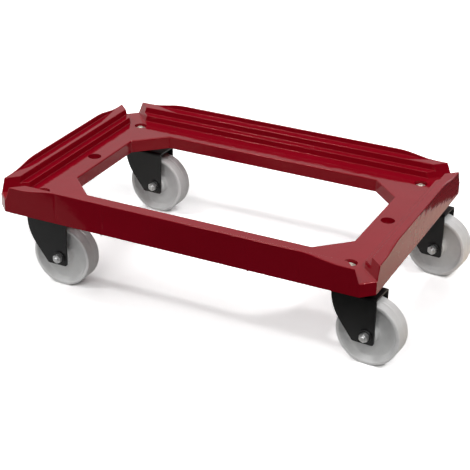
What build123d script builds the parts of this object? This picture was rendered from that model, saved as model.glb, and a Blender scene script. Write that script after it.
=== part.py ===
from build123d import *
import math
import os

# Crate dolly: a moulded frame for 600 x 400 mm crates on four swivel castors.
# Millimetres, +Z up, floor at Z = 0. Front is -Y, left is -X.

# Frame outline, in plan
FRAME_LENGTH = 620.0
FRAME_WIDTH = 420.0
CORNER_CHAMFER = 18.5
LONG_RAIL_WIDTH = 75.0
SHORT_RAIL_WIDTH = 73.5
OPENING_CHAMFER = 48.0
OPENING_CORNER_RADIUS = 4.0

# Frame heights, each above the level before it
SKIRT_HEIGHT = 21.0
LOWER_LEDGE_RISE = 10.5
UPPER_LEDGE_RISE = 10.5
LIP_RISE = 8.0

# Stepped rim, measured inwards from the outer face
LIP_THICKNESS = 3.0
UPPER_LEDGE_WIDTH = 15.8
LOWER_LEDGE_WIDTH = 11.6
RIM_END_SLOPE = 0.37
RIM_END_SETBACK = 0.4
LIP_END_FLAT = 31.0
LIP_RAMP = 43.0
LIP_RAMP_RADIUS = 150.0
LIP_INNER_RADIUS = 0.8
RIM_END_RADIUS = 0.8
EDGE_RADIUS = 1.2
RIM_SINK = 1.0
RIM_FOOT = 3.0
ROUNDING_SHARE = 0.45
TOLERANCE = 0.01

# Moulded walls and ribs
WALL = 3.0
RIB_THICKNESS = 2.5
RIB_SETBACK = 2.0
RIB_PITCH = 46.0
OPENING_EDGE_RADIUS = 2.0
CORNER_EDGE_RADIUS = 1.8
GATE_STUB_RADIUS = 1.4
GATE_STUB_HEIGHT = 1.3
GATE_STUB_SPACING = 242.0

# Holes and bosses in the deck
KINGPIN_INSET_X = 53.5
KINGPIN_INSET_Y = 54.5
TOW_HOLE_RADIUS = 11.0
TOW_BOSS_WALL = 3.5
TOW_BOSS_DEPTH = 18.0
RECESS_RADIUS = 10.5
RECESS_WALL = 4.5
SEAT_THICKNESS = 7.0
HEAD_RING_WIDTH = 3.5

# Wheel
WHEEL_DIAMETER = 100.0
TREAD_WIDTH = 32.0
TREAD_EDGE_RADIUS = 1.5
RIM_FACE_WIDTH = 3.5
DISH_SLOPE_WIDTH = 5.0
WEB_THICKNESS = 11.0
HUB_RADIUS = 16.0
HUB_EDGE_RADIUS = 1.5
DISH_RADIUS = 3.0
BORE_CLEARANCE = 0.06

# Axle
AXLE_TUBE_RADIUS = 6.0
AXLE_BOLT_RADIUS = 4.0
AXLE_HEX_ACROSS_FLATS = 13.0
AXLE_HEAD_HEIGHT = 5.3
AXLE_NUT_HEIGHT = 8.0
AXLE_BOLT_PROTRUSION = 2.0
BOLT_HOLE_CLEARANCE = 0.1
NUT_HEX_SHARE = 0.8
NUT_COLLAR_RADIUS = 5.6
NUT_COLLAR_EDGE = 0.8

# Fork, pressed from sheet
SHEET = 3.0
HUB_GAP = 0.5
HUB_OVERHANG = 2.0
TRAIL = 40.0
WHEEL_CLEARANCE = 9.0
LEG_BEHIND_AXLE = 13.0
LEG_AHEAD_OF_AXLE = 20.5
LEG_BELOW_AXLE = 13.7
CROWN_AHEAD_OF_KINGPIN = 17.5
LEG_SHOULDER_DROP = 28.0
LEG_SWEEP_RADIUS = 72.0
LEG_HEEL_RADIUS = 5.0
LEG_TOE_RADIUS = 3.5
BEND_RADIUS = 2.0
AXLE_BOSS_RADIUS = 10.0
AXLE_BOSS_RISE = 2.5
AXLE_BOSS_EDGE = 1.0

# Swivel bearing
KINGPIN_RADIUS = 8.0
KINGPIN_FLANGE_RADIUS = 17.0
KINGPIN_FLANGE_THICKNESS = 3.0
CROWN_HOLE_CLEARANCE = 0.5
UPPER_BALL_DIAMETER = 8.0
UPPER_BALL_PITCH_RADIUS = 14.0
LOWER_BALL_DIAMETER = 6.0
LOWER_BALL_PITCH_RADIUS = 12.5
BALL_SINK = 1.0
BALL_CLEARANCE = 0.15
BALL_SPACING = 0.7
RACE_RISE = 2.5
RACE_BORDER = 2.2
HEAD_THICKNESS = 5.5
HEAD_SKIRT_THICKNESS = 2.0
HEAD_SKIRT_GAP = 1.2
DUST_GAP = 0.8

# Castor fixing
MOUNT_BOLT_RADIUS = 5.0
MOUNT_BOLT_CLEARANCE = 0.2
MOUNT_HEX_ACROSS_FLATS = 16.0
MOUNT_HEAD_HEIGHT = 6.4
MOUNT_NUT_HEIGHT = 8.0
MOUNT_WASHER_RADIUS = 9.8
MOUNT_WASHER_THICKNESS = 2.0
MOUNT_BOLT_PROTRUSION = 2.5
HEX_CHAMFER_ANGLE = 30.0
BOLT_END_CHAMFER = 0.9

# Castors: name, side in X, side in Y, resting turn about the kingpin in degrees
CASTORS = (
    ("front_left", -1, -1, -0.7),
    ("front_right", 1, -1, -3.9),
    ("rear_left", -1, 1, -2.5),
    ("rear_right", 1, 1, -4.7),
)

# Levels from the floor up
AXLE_Z = WHEEL_DIAMETER / 2
CROWN_BOTTOM_Z = WHEEL_DIAMETER + WHEEL_CLEARANCE
CROWN_TOP_Z = CROWN_BOTTOM_Z + SHEET
UPPER_RACE_Z = CROWN_TOP_Z + RACE_RISE
HEAD_BOTTOM_Z = UPPER_RACE_Z + UPPER_BALL_DIAMETER - 2 * BALL_SINK
CASTOR_TOP_Z = HEAD_BOTTOM_Z + HEAD_THICKNESS
FLANGE_TOP_Z = CROWN_BOTTOM_Z - (LOWER_BALL_DIAMETER - 2 * BALL_SINK)
FLANGE_BOTTOM_Z = FLANGE_TOP_Z - KINGPIN_FLANGE_THICKNESS
SKIRT_BOTTOM_Z = CASTOR_TOP_Z
DECK_Z = SKIRT_BOTTOM_Z + SKIRT_HEIGHT
LOWER_LEDGE_Z = DECK_Z + LOWER_LEDGE_RISE
UPPER_LEDGE_Z = LOWER_LEDGE_Z + UPPER_LEDGE_RISE
LIP_TOP_Z = UPPER_LEDGE_Z + LIP_RISE
SEAT_Z = CASTOR_TOP_Z + SEAT_THICKNESS
WASHER_TOP_Z = SEAT_Z + MOUNT_WASHER_THICKNESS
MOUNT_NUT_TOP_Z = WASHER_TOP_Z + MOUNT_NUT_HEIGHT
MOUNT_BOLT_END_Z = MOUNT_NUT_TOP_Z + MOUNT_BOLT_PROTRUSION
UPPER_BALL_Z = (UPPER_RACE_Z + HEAD_BOTTOM_Z) / 2
LOWER_BALL_Z = (FLANGE_TOP_Z + CROWN_BOTTOM_Z) / 2

# Places in plan
UPPER_LEDGE_REACH = LIP_THICKNESS + UPPER_LEDGE_WIDTH
LOWER_LEDGE_REACH = UPPER_LEDGE_REACH + LOWER_LEDGE_WIDTH
OPENING_HALF_LENGTH = FRAME_LENGTH / 2 - SHORT_RAIL_WIDTH
OPENING_HALF_WIDTH = FRAME_WIDTH / 2 - LONG_RAIL_WIDTH
KINGPIN_X = FRAME_LENGTH / 2 - KINGPIN_INSET_X
KINGPIN_Y = FRAME_WIDTH / 2 - KINGPIN_INSET_Y
HUB_HALF_WIDTH = TREAD_WIDTH / 2 + HUB_OVERHANG
LEG_INNER_Y = HUB_HALF_WIDTH + HUB_GAP
LEG_OUTER_Y = LEG_INNER_Y + SHEET
AXLE_SEAT_Y = LEG_OUTER_Y + AXLE_BOSS_RISE
RACE_BOSS_RADIUS = UPPER_BALL_PITCH_RADIUS + UPPER_BALL_DIAMETER / 2 + RACE_BORDER
HEAD_RADIUS = RACE_BOSS_RADIUS + HEAD_SKIRT_GAP + HEAD_SKIRT_THICKNESS
MOUNT_HOLE_RADIUS = MOUNT_BOLT_RADIUS + MOUNT_BOLT_CLEARANCE


def wheel_reach(turn):
    """How far a wheel reaches along +X from its kingpin when its fork is turned by an angle in degrees."""
    run = math.cos(math.radians(turn))
    side = abs(math.sin(math.radians(turn)))
    rolling = (TRAIL + WHEEL_DIAMETER / 2 - TREAD_EDGE_RADIUS) * run
    return rolling + (TREAD_WIDTH / 2 - TREAD_EDGE_RADIUS) * side + TREAD_EDGE_RADIUS


# The origin is on the floor under the middle of the whole outline, wheels included
RIGHT_REACH = max(KINGPIN_X + wheel_reach(turn) for name, side_x, side_y, turn in CASTORS if side_x > 0)
FRAME_CENTRE_X = (FRAME_LENGTH / 2 - max(RIGHT_REACH, FRAME_LENGTH / 2)) / 2


def chamfered_rectangle(half_length, half_width, chamfer, corner_radius=0.0):
    """Face in plan: a rectangle about the origin with its four corners cut at 45 degrees."""
    points = []
    for sx, sy in ((1, 1), (-1, 1), (-1, -1), (1, -1)):
        along_x = (sx * (half_length - chamfer), sy * half_width)
        along_y = (sx * half_length, sy * (half_width - chamfer))
        points += [along_y, along_x] if sx * sy > 0 else [along_x, along_y]
    return make_face(FilletPolyline(*points, radius=corner_radius, close=True))


def offset_chamfer(chamfer, offset):
    """Leg of a 45 degree corner cut after its rectangle grows by an offset on every side."""
    return chamfer + offset * (2 - math.sqrt(2))


def prism(face, low, high):
    """Upright solid on a face in plan, between two levels."""
    return extrude(Pos(0, 0, low) * face, amount=high - low)


def tube(radius, bore, low, high):
    """Upright tube about the Z axis."""
    return prism(Circle(radius) - Circle(bore), low, high)


def deck_slab():
    """Solid block of the deck and its skirts, with the opening, before it is hollowed."""
    outline = chamfered_rectangle(FRAME_LENGTH / 2, FRAME_WIDTH / 2, CORNER_CHAMFER)
    opening = chamfered_rectangle(
        OPENING_HALF_LENGTH, OPENING_HALF_WIDTH, OPENING_CHAMFER, OPENING_CORNER_RADIUS
    )
    slab = prism(outline - opening, SKIRT_BOTTOM_Z, DECK_Z)
    slab = fillet(top_face(slab).inner_wires()[0].edges(), OPENING_EDGE_RADIUS)
    corners = [edge for edge in top_face(slab).outer_wire().edges() if is_diagonal(edge)]
    return fillet(corners, CORNER_EDGE_RADIUS)


def top_face(solid):
    """Highest flat face of a solid."""
    return solid.faces().filter_by(Axis.Z).sort_by(Axis.Z)[-1]


def is_diagonal(edge):
    """True for a straight edge that runs across a corner, and not along a side."""
    run = edge.tangent_at(0.5)
    return abs(run.X) > 0.1 and abs(run.Y) > 0.1


def side_plane(face_distance, length):
    """Section plane of a front rim: local X runs inwards from the outer face, local Y is up."""
    return Plane(origin=(-length / 2, -face_distance, 0), x_dir=(0, 1, 0), z_dir=(1, 0, 0))


def rim_end_plane(face_distance, length, end, inset):
    """Leaning plane, parallel to the corner's diagonal, that ends a front rim at one end."""
    normal = Vector(end, 1, RIM_END_SLOPE).normalized()
    foot = Vector(end * (length / 2 - CORNER_CHAMFER - RIM_END_SETBACK), -face_distance, DECK_Z)
    return Plane(origin=foot - normal * inset, z_dir=normal)


def cut_rim_ends(bar, face_distance, length, inset):
    """Cuts both ends of a front rim, or of the hollow in it, to the open corners."""
    for end in (-1, 1):
        bar = split(bar, bisect_by=rim_end_plane(face_distance, length, end, inset), keep=Keep.BOTTOM)
    return bar


def rim_ledges(face_distance, length):
    """The two ledges of a front rim, with rounded inner edges and a rounded foot on the deck."""
    foot = LOWER_LEDGE_REACH + RIM_FOOT
    corners = (
        (0, DECK_Z - RIM_SINK, 0),
        (foot, DECK_Z - RIM_SINK, 0),
        (foot, DECK_Z, 0),
        (LOWER_LEDGE_REACH, DECK_Z, EDGE_RADIUS),
        (LOWER_LEDGE_REACH, LOWER_LEDGE_Z, EDGE_RADIUS),
        (UPPER_LEDGE_REACH, LOWER_LEDGE_Z, EDGE_RADIUS),
        (UPPER_LEDGE_REACH, UPPER_LEDGE_Z, EDGE_RADIUS),
        (0, UPPER_LEDGE_Z, 0),
    )
    return extrude(side_plane(face_distance, length) * rounded_face(corners), amount=length)


def rounded_face(corners):
    """Face from corners given as x, y and corner radius."""
    points = [(x, y) for x, y, radius in corners]
    return make_face(FilletPolyline(*points, radius=[radius for x, y, radius in corners], close=True))


def lip_ramp_foot(length):
    """Distance from the middle of a side to the foot of the ramp at each end of its lip."""
    return length / 2 - CORNER_CHAMFER - (UPPER_LEDGE_Z - DECK_Z) * RIM_END_SLOPE - LIP_END_FLAT


def rim_lip(face_distance, length):
    """The raised lip along the outer edge of a front rim, which ramps down before each end."""
    foot = lip_ramp_foot(length)
    top = foot - LIP_RAMP
    half_bend = math.tan(math.atan2(LIP_RISE, LIP_RAMP) / 2)
    radius = min(LIP_RAMP_RADIUS, ROUNDING_SHARE * math.hypot(LIP_RISE, LIP_RAMP) / half_bend)
    tip = foot + radius * half_bend + RIM_SINK
    root = UPPER_LEDGE_Z - RIM_SINK
    corners = (
        (-tip, root, 0),
        (tip, root, 0),
        (tip, UPPER_LEDGE_Z, 0),
        (foot, UPPER_LEDGE_Z, radius),
        (top, LIP_TOP_Z, radius),
        (-top, LIP_TOP_Z, radius),
        (-foot, UPPER_LEDGE_Z, radius),
        (-tip, UPPER_LEDGE_Z, 0),
    )
    elevation = Plane(origin=(0, -face_distance, 0), x_dir=(1, 0, 0), z_dir=(0, -1, 0))
    lip = extrude(elevation * rounded_face(corners), amount=-LIP_THICKNESS)
    inner_crest = crest_edges(lip, -face_distance + LIP_THICKNESS)
    return fillet(inner_crest, min(LIP_INNER_RADIUS, ROUNDING_SHARE * LIP_THICKNESS))


def crest_edges(solid, y):
    """Upper edges of a front rim piece that lie in an upright plane along the rim."""
    edges = []
    for edge in solid.edges():
        box = edge.bounding_box()
        in_plane = max(abs(box.min.Y - y), abs(box.max.Y - y)) < TOLERANCE
        if in_plane and box.min.Z > UPPER_LEDGE_Z - TOLERANCE and box.size.X > TOLERANCE:
            edges.append(edge)
    return edges


def lip_root(face_distance, length):
    """Rounded root between the upper ledge and the inner face of a front lip."""
    low = UPPER_LEDGE_Z - RIM_SINK
    high = UPPER_LEDGE_Z + EDGE_RADIUS + RIM_SINK / 2
    corners = (
        (LIP_THICKNESS - RIM_SINK, low, 0),
        (LIP_THICKNESS + RIM_FOOT, low, 0),
        (LIP_THICKNESS + RIM_FOOT, UPPER_LEDGE_Z, 0),
        (LIP_THICKNESS, UPPER_LEDGE_Z, EDGE_RADIUS),
        (LIP_THICKNESS, high, 0),
        (LIP_THICKNESS - RIM_SINK, high, 0),
    )
    run = 2 * lip_ramp_foot(length) - LIP_RAMP
    return extrude(side_plane(face_distance, run) * rounded_face(corners), amount=run)


def rim(face_distance, length):
    """A whole front rim: ledges and lip with a rounded outer edge, and rounded ends at the open corners."""
    bar = rim_ledges(face_distance, length) + rim_lip(face_distance, length)
    bar = fillet(crest_edges(bar, -face_distance), min(EDGE_RADIUS, ROUNDING_SHARE * LIP_THICKNESS))
    bar = cut_rim_ends(bar + lip_root(face_distance, length), face_distance, length, 0)
    for end in (-1, 1):
        plane = rim_end_plane(face_distance, length, end, 0)
        end_face = bar.faces().sort_by(lambda face: abs(plane.to_local_coords(face.center()).Z))[0]
        rounded = [edge for edge in end_face.edges() if edge.bounding_box().max.Z > DECK_Z]
        bar = fillet(rounded, min(RIM_END_RADIUS, 2 * ROUNDING_SHARE * EDGE_RADIUS))
    return bar


def rim_hollow(face_distance, length):
    """Hollow inside a front rim, open below, one wall inside every visible face."""
    low = DECK_Z - WALL - RIM_SINK
    section = make_face(
        Polyline(
            (WALL, low),
            (LOWER_LEDGE_REACH - WALL, low),
            (LOWER_LEDGE_REACH - WALL, LOWER_LEDGE_Z - WALL),
            (UPPER_LEDGE_REACH - WALL, LOWER_LEDGE_Z - WALL),
            (UPPER_LEDGE_REACH - WALL, UPPER_LEDGE_Z - WALL),
            (WALL, UPPER_LEDGE_Z - WALL),
            close=True,
        )
    )
    bar = extrude(side_plane(face_distance, length) * section, amount=length)
    return cut_rim_ends(bar, face_distance, length, WALL)


def on_four_sides(make):
    """A rim piece made for the front, right, rear and left sides, as a list."""
    sides = ((FRAME_WIDTH, FRAME_LENGTH), (FRAME_LENGTH, FRAME_WIDTH)) * 2
    return [Rot(0, 0, 90 * turn) * make(across / 2, length) for turn, (across, length) in enumerate(sides)]


def deck_hollow():
    """Hollow under the deck between the outer and the inner skirt."""
    outer = chamfered_rectangle(
        FRAME_LENGTH / 2 - WALL, FRAME_WIDTH / 2 - WALL, offset_chamfer(CORNER_CHAMFER, -WALL)
    )
    inner = chamfered_rectangle(
        OPENING_HALF_LENGTH + WALL, OPENING_HALF_WIDTH + WALL, offset_chamfer(OPENING_CHAMFER, WALL)
    )
    return prism(outer - inner, SKIRT_BOTTOM_Z - RIM_SINK, DECK_Z - WALL)


def spread(half_span):
    """Evenly spaced places across a span, no further apart than the rib pitch."""
    count = math.ceil(2 * half_span / RIB_PITCH)
    return [-half_span + 2 * half_span * step / count for step in range(count + 1)]


def ribs():
    """Ribs under the deck: a grid that carries on through the corners, and one across each corner."""
    plates = [Pos(x, 0) * Rectangle(RIB_THICKNESS, FRAME_WIDTH) for x in spread(KINGPIN_X)]
    plates += [Pos(0, y) * Rectangle(FRAME_LENGTH, RIB_THICKNESS) for y in spread(KINGPIN_Y)]
    across_corner = Rectangle(LONG_RAIL_WIDTH + SHORT_RAIL_WIDTH, RIB_THICKNESS)
    for name, side_x, side_y, turn in CASTORS:
        diagonal = Rot(0, 0, 45 * side_x * side_y) * across_corner
        plates.append(Pos(side_x * KINGPIN_X, side_y * KINGPIN_Y) * diagonal)
    return [prism(plate, SKIRT_BOTTOM_Z + RIB_SETBACK, UPPER_LEDGE_Z) for plate in plates]


def bosses():
    """Bosses under the deck: a cup and a bearing ring over each castor, and a tube round each tow hole."""
    cup = prism(Circle(RECESS_RADIUS + RECESS_WALL), SKIRT_BOTTOM_Z, DECK_Z)
    ring = tube(HEAD_RADIUS, HEAD_RADIUS - HEAD_RING_WIDTH, SKIRT_BOTTOM_Z, DECK_Z)
    tow_boss = prism(Circle(TOW_HOLE_RADIUS + TOW_BOSS_WALL), DECK_Z - TOW_BOSS_DEPTH, DECK_Z)
    solids = [Pos(side * KINGPIN_X, 0, 0) * tow_boss for side in (-1, 1)]
    for name, side_x, side_y, turn in CASTORS:
        solids += [Pos(side_x * KINGPIN_X, side_y * KINGPIN_Y, 0) * solid for solid in (cup, ring)]
    return solids


def deck_holes():
    """Everything bored down through the deck: nut recesses, bolt holes and tow holes."""
    recess = prism(Circle(RECESS_RADIUS), SEAT_Z, DECK_Z + RIM_SINK)
    bolt_hole = prism(Circle(MOUNT_HOLE_RADIUS), SKIRT_BOTTOM_Z - RIM_SINK, SEAT_Z + RIM_SINK)
    tow_hole = prism(Circle(TOW_HOLE_RADIUS), SKIRT_BOTTOM_Z - RIM_SINK, DECK_Z + RIM_SINK)
    cuts = [Pos(side * KINGPIN_X, 0, 0) * tow_hole for side in (-1, 1)]
    for name, side_x, side_y, turn in CASTORS:
        cuts += [Pos(side_x * KINGPIN_X, side_y * KINGPIN_Y, 0) * cut for cut in (recess, bolt_hole)]
    return cuts


def gate_stubs():
    """Short stubs left by the mould's gates on the lower edge of both long skirts."""
    stub = prism(Circle(GATE_STUB_RADIUS), SKIRT_BOTTOM_Z - GATE_STUB_HEIGHT, SKIRT_BOTTOM_Z + RIM_SINK)
    y = FRAME_WIDTH / 2 - WALL / 2
    return [Pos(sx * GATE_STUB_SPACING / 2, sy * y, 0) * stub for sx in (-1, 1) for sy in (-1, 1)]


def deck_frame():
    """The frame: one hollow moulding with ribs."""
    body = Part() + [deck_slab(), *on_four_sides(rim)]
    hollow = Part() + [deck_hollow(), *on_four_sides(rim_hollow)]
    body -= hollow - ribs() - bosses()
    body -= deck_holes()
    return body + gate_stubs()


def ball_groove(pitch_radius, diameter, level):
    """Ring-shaped space for a row of balls with their running clearance."""
    return Pos(0, 0, level) * Torus(pitch_radius, diameter / 2 + BALL_CLEARANCE)


def ball_ring(pitch_radius, diameter, level):
    """A row of separate balls about the kingpin."""
    count = math.floor(2 * math.pi * pitch_radius / (diameter + BALL_SPACING))
    ball = Pos(pitch_radius, 0, level) * Sphere(diameter / 2)
    return Compound(children=[Rot(0, 0, 360 * step / count) * ball for step in range(count)])


def upper_balls():
    """Balls between the swivel head and the fork's crown."""
    return ball_ring(UPPER_BALL_PITCH_RADIUS, UPPER_BALL_DIAMETER, UPPER_BALL_Z)


def lower_balls():
    """Balls between the fork's crown and the kingpin's flange."""
    return ball_ring(LOWER_BALL_PITCH_RADIUS, LOWER_BALL_DIAMETER, LOWER_BALL_Z)


def swivel_head():
    """Head under the frame: a disc with the upper race, and a dust skirt round the balls."""
    head = tube(HEAD_RADIUS, KINGPIN_RADIUS, HEAD_BOTTOM_Z, CASTOR_TOP_Z)
    head += tube(HEAD_RADIUS, HEAD_RADIUS - HEAD_SKIRT_THICKNESS, CROWN_TOP_Z + DUST_GAP, CASTOR_TOP_Z)
    return head - ball_groove(UPPER_BALL_PITCH_RADIUS, UPPER_BALL_DIAMETER, UPPER_BALL_Z)


def kingpin():
    """Hollow kingpin with the lower race on its flange."""
    pin = tube(KINGPIN_RADIUS, MOUNT_HOLE_RADIUS, FLANGE_BOTTOM_Z, CASTOR_TOP_Z)
    pin += tube(KINGPIN_FLANGE_RADIUS, MOUNT_HOLE_RADIUS, FLANGE_BOTTOM_Z, FLANGE_TOP_Z)
    return pin - ball_groove(LOWER_BALL_PITCH_RADIUS, LOWER_BALL_DIAMETER, LOWER_BALL_Z)


def hexagon(across_flats, low, high):
    """Upright hexagonal prism."""
    return prism(RegularPolygon(across_flats / 2, 6, major_radius=False), low, high)


def chamfer_cone(across_flats, height, level):
    """Cone that rounds off a hexagon's corners at its outer end, which is at a level and faces up."""
    reach = across_flats / 2 + height / math.tan(math.radians(HEX_CHAMFER_ANGLE))
    profile = Polyline(
        (0, level - height), (reach, level - height), (across_flats / 2, level), (0, level), close=True
    )
    return revolve(Plane.XZ * make_face(profile), axis=Axis.Z)


def hex_head(across_flats, height, level):
    """Hexagon with rounded-off corners whose outer end is at a level and faces up."""
    return hexagon(across_flats, level - height, level) & chamfer_cone(across_flats, height, level)


def bolt_shank(radius, low, high):
    """Bolt shank about the Z axis with its upper end chamfered."""
    shank = prism(Circle(radius), low, high)
    return chamfer(shank.edges().group_by(Axis.Z)[-1], BOLT_END_CHAMFER)


def mounting_bolt():
    """Bolt up through the kingpin, with its head under the flange."""
    head_bottom_z = FLANGE_BOTTOM_Z - MOUNT_HEAD_HEIGHT
    head = Rot(180, 0, 0) * hex_head(MOUNT_HEX_ACROSS_FLATS, MOUNT_HEAD_HEIGHT, -head_bottom_z)
    return head + bolt_shank(MOUNT_BOLT_RADIUS, FLANGE_BOTTOM_Z - MOUNT_HEAD_HEIGHT / 2, MOUNT_BOLT_END_Z)


def mounting_washer():
    """Washer on the floor of the recess in the deck."""
    return tube(MOUNT_WASHER_RADIUS, MOUNT_HOLE_RADIUS, SEAT_Z, WASHER_TOP_Z)


def mounting_nut():
    """Nut in the recess in the deck."""
    nut = hex_head(MOUNT_HEX_ACROSS_FLATS, MOUNT_NUT_HEIGHT, MOUNT_NUT_TOP_Z)
    return nut - prism(Circle(MOUNT_BOLT_RADIUS), WASHER_TOP_Z, MOUNT_NUT_TOP_Z)


def fork_channel():
    """Sheet bent to an upside-down channel, cut to the legs' outline seen from the side."""
    section = (
        (-LEG_OUTER_Y, 0, 0),
        (-LEG_OUTER_Y, CROWN_TOP_Z, BEND_RADIUS + SHEET),
        (LEG_OUTER_Y, CROWN_TOP_Z, BEND_RADIUS + SHEET),
        (LEG_OUTER_Y, 0, 0),
        (LEG_INNER_Y, 0, 0),
        (LEG_INNER_Y, CROWN_BOTTOM_Z, BEND_RADIUS),
        (-LEG_INNER_Y, CROWN_BOTTOM_Z, BEND_RADIUS),
        (-LEG_INNER_Y, 0, 0),
    )
    length = CROWN_AHEAD_OF_KINGPIN + TRAIL + LEG_BEHIND_AXLE
    across = Plane(origin=(-CROWN_AHEAD_OF_KINGPIN, 0, 0), x_dir=(0, 1, 0), z_dir=(1, 0, 0))
    channel = extrude(across * rounded_face(section), amount=length)
    along = Plane(origin=(0, LEG_OUTER_Y, 0), x_dir=(1, 0, 0), z_dir=(0, -1, 0))
    return channel & extrude(along * leg_outline(), amount=2 * LEG_OUTER_Y)


def leg_outline():
    """Outline of a leg from the side: a swept leading edge, a short foot and an upright trailing edge."""
    shoulder_z = CROWN_TOP_Z - LEG_SHOULDER_DROP
    foot_z = AXLE_Z - LEG_BELOW_AXLE
    heel_x = TRAIL - LEG_AHEAD_OF_AXLE
    toe_x = TRAIL + LEG_BEHIND_AXLE
    sweep = math.atan2(heel_x + CROWN_AHEAD_OF_KINGPIN, shoulder_z - foot_z)
    slant = math.hypot(heel_x + CROWN_AHEAD_OF_KINGPIN, shoulder_z - foot_z)
    room = min(2 * LEG_SHOULDER_DROP, slant) * ROUNDING_SHARE
    sweep_radius = min(LEG_SWEEP_RADIUS, room / math.tan(sweep / 2))
    return rounded_face(
        (
            (-CROWN_AHEAD_OF_KINGPIN, CROWN_TOP_Z, 0),
            (-CROWN_AHEAD_OF_KINGPIN, shoulder_z, sweep_radius),
            (heel_x, foot_z, LEG_HEEL_RADIUS),
            (toe_x, foot_z, LEG_TOE_RADIUS),
            (toe_x, CROWN_TOP_Z, 0),
        )
    )


def axle_bosses():
    """Round bosses on the outer faces of both legs, on which the axle's head and nut sit."""
    disc = prism(Circle(AXLE_BOSS_RADIUS), LEG_INNER_Y, AXLE_SEAT_Y)
    disc = fillet(disc.edges().group_by(Axis.Z)[-1], AXLE_BOSS_EDGE)
    return [on_axle(Rot(angle, 0, 0) * disc) for angle in (0, 180)]


def fork():
    """Fork: bent channel, round nose over the kingpin, upper race, axle bosses, and the holes."""
    body = fork_channel() + axle_bosses()
    body += prism(Circle(LEG_OUTER_Y), CROWN_BOTTOM_Z, CROWN_TOP_Z)
    body += prism(Circle(RACE_BOSS_RADIUS), CROWN_BOTTOM_Z, UPPER_RACE_Z)
    body -= prism(Circle(KINGPIN_RADIUS + CROWN_HOLE_CLEARANCE), CROWN_BOTTOM_Z - SHEET, UPPER_RACE_Z + SHEET)
    body -= ball_groove(UPPER_BALL_PITCH_RADIUS, UPPER_BALL_DIAMETER, UPPER_BALL_Z)
    body -= ball_groove(LOWER_BALL_PITCH_RADIUS, LOWER_BALL_DIAMETER, LOWER_BALL_Z)
    axle_hole = Circle(AXLE_BOLT_RADIUS + BOLT_HOLE_CLEARANCE)
    return body - on_axle(prism(axle_hole, -AXLE_SEAT_Y - SHEET, AXLE_SEAT_Y + SHEET))


def on_axle(solid):
    """Lays a solid made about the Z axis along the axle, with its upper end towards the front."""
    return Pos(TRAIL, 0, AXLE_Z) * Rot(90, 0, 0) * solid


def axle_tube():
    """Sleeve clamped between the legs, on which the wheel runs."""
    return on_axle(tube(AXLE_TUBE_RADIUS, AXLE_BOLT_RADIUS + BOLT_HOLE_CLEARANCE, -LEG_INNER_Y, LEG_INNER_Y))


def axle_bolt():
    """Axle bolt with its head on the rear leg and its end through the nut on the front leg."""
    head_end = AXLE_SEAT_Y + AXLE_HEAD_HEIGHT
    head = Rot(180, 0, 0) * hex_head(AXLE_HEX_ACROSS_FLATS, AXLE_HEAD_HEIGHT, head_end)
    end = AXLE_SEAT_Y + AXLE_NUT_HEIGHT + AXLE_BOLT_PROTRUSION
    return on_axle(head + bolt_shank(AXLE_BOLT_RADIUS, -AXLE_SEAT_Y - AXLE_HEAD_HEIGHT / 2, end))


def axle_nut():
    """Lock nut on the front leg: a hexagon with a round collar."""
    hex_height = AXLE_NUT_HEIGHT * NUT_HEX_SHARE
    nut = hex_head(AXLE_HEX_ACROSS_FLATS, hex_height, AXLE_SEAT_Y + hex_height)
    collar = prism(Circle(NUT_COLLAR_RADIUS), AXLE_SEAT_Y, AXLE_SEAT_Y + AXLE_NUT_HEIGHT)
    nut += fillet(collar.edges().group_by(Axis.Z)[-1], NUT_COLLAR_EDGE)
    return on_axle(nut - prism(Circle(AXLE_BOLT_RADIUS), AXLE_SEAT_Y, AXLE_SEAT_Y + AXLE_NUT_HEIGHT))


def wheel():
    """Wheel with a flat tread, dished on both sides, turning on the axle tube."""
    radius = WHEEL_DIAMETER / 2
    bore = AXLE_TUBE_RADIUS + BORE_CLEARANCE
    rim_inner = radius - TREAD_EDGE_RADIUS - RIM_FACE_WIDTH
    half = (
        (bore, HUB_HALF_WIDTH, 0),
        (HUB_RADIUS, HUB_HALF_WIDTH, HUB_EDGE_RADIUS),
        (HUB_RADIUS, WEB_THICKNESS / 2, DISH_RADIUS),
        (rim_inner - DISH_SLOPE_WIDTH, WEB_THICKNESS / 2, DISH_RADIUS),
        (rim_inner, TREAD_WIDTH / 2, HUB_EDGE_RADIUS),
        (radius, TREAD_WIDTH / 2, TREAD_EDGE_RADIUS),
    )
    corners = half + tuple((r, -y, corner) for r, y, corner in reversed(half))
    return on_axle(revolve(Plane.XZ * rounded_face(corners), axis=Axis.Z))


def main():
    """Places every piece and writes one file for each."""
    nodes = {"deck_frame": Pos(FRAME_CENTRE_X, 0, 0) * deck_frame()}
    fixed = (swivel_head, kingpin, upper_balls, lower_balls, mounting_bolt, mounting_washer, mounting_nut)
    turned = (fork, axle_tube, axle_bolt, axle_nut, wheel)
    pieces = {make: make() for make in fixed + turned}
    for name, side_x, side_y, turn in CASTORS:
        place = Pos(FRAME_CENTRE_X + side_x * KINGPIN_X, side_y * KINGPIN_Y, 0)
        for make in fixed:
            nodes[f"{make.__name__}_{name}"] = place * pieces[make]
        for make in turned:
            nodes[f"{make.__name__}_{name}"] = place * Rot(0, 0, turn) * pieces[make]
    os.makedirs("parts", exist_ok=True)
    for name, node in nodes.items():
        export_step(node, f"parts/{name}.step")
    print("nodes", len(nodes), "frame centre x", round(FRAME_CENTRE_X, 3))
    print("deck z", DECK_Z, "top z", LIP_TOP_Z)


main()
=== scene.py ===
"""Looks of a red moulded crate dolly on four swivel castors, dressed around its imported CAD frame."""

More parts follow.
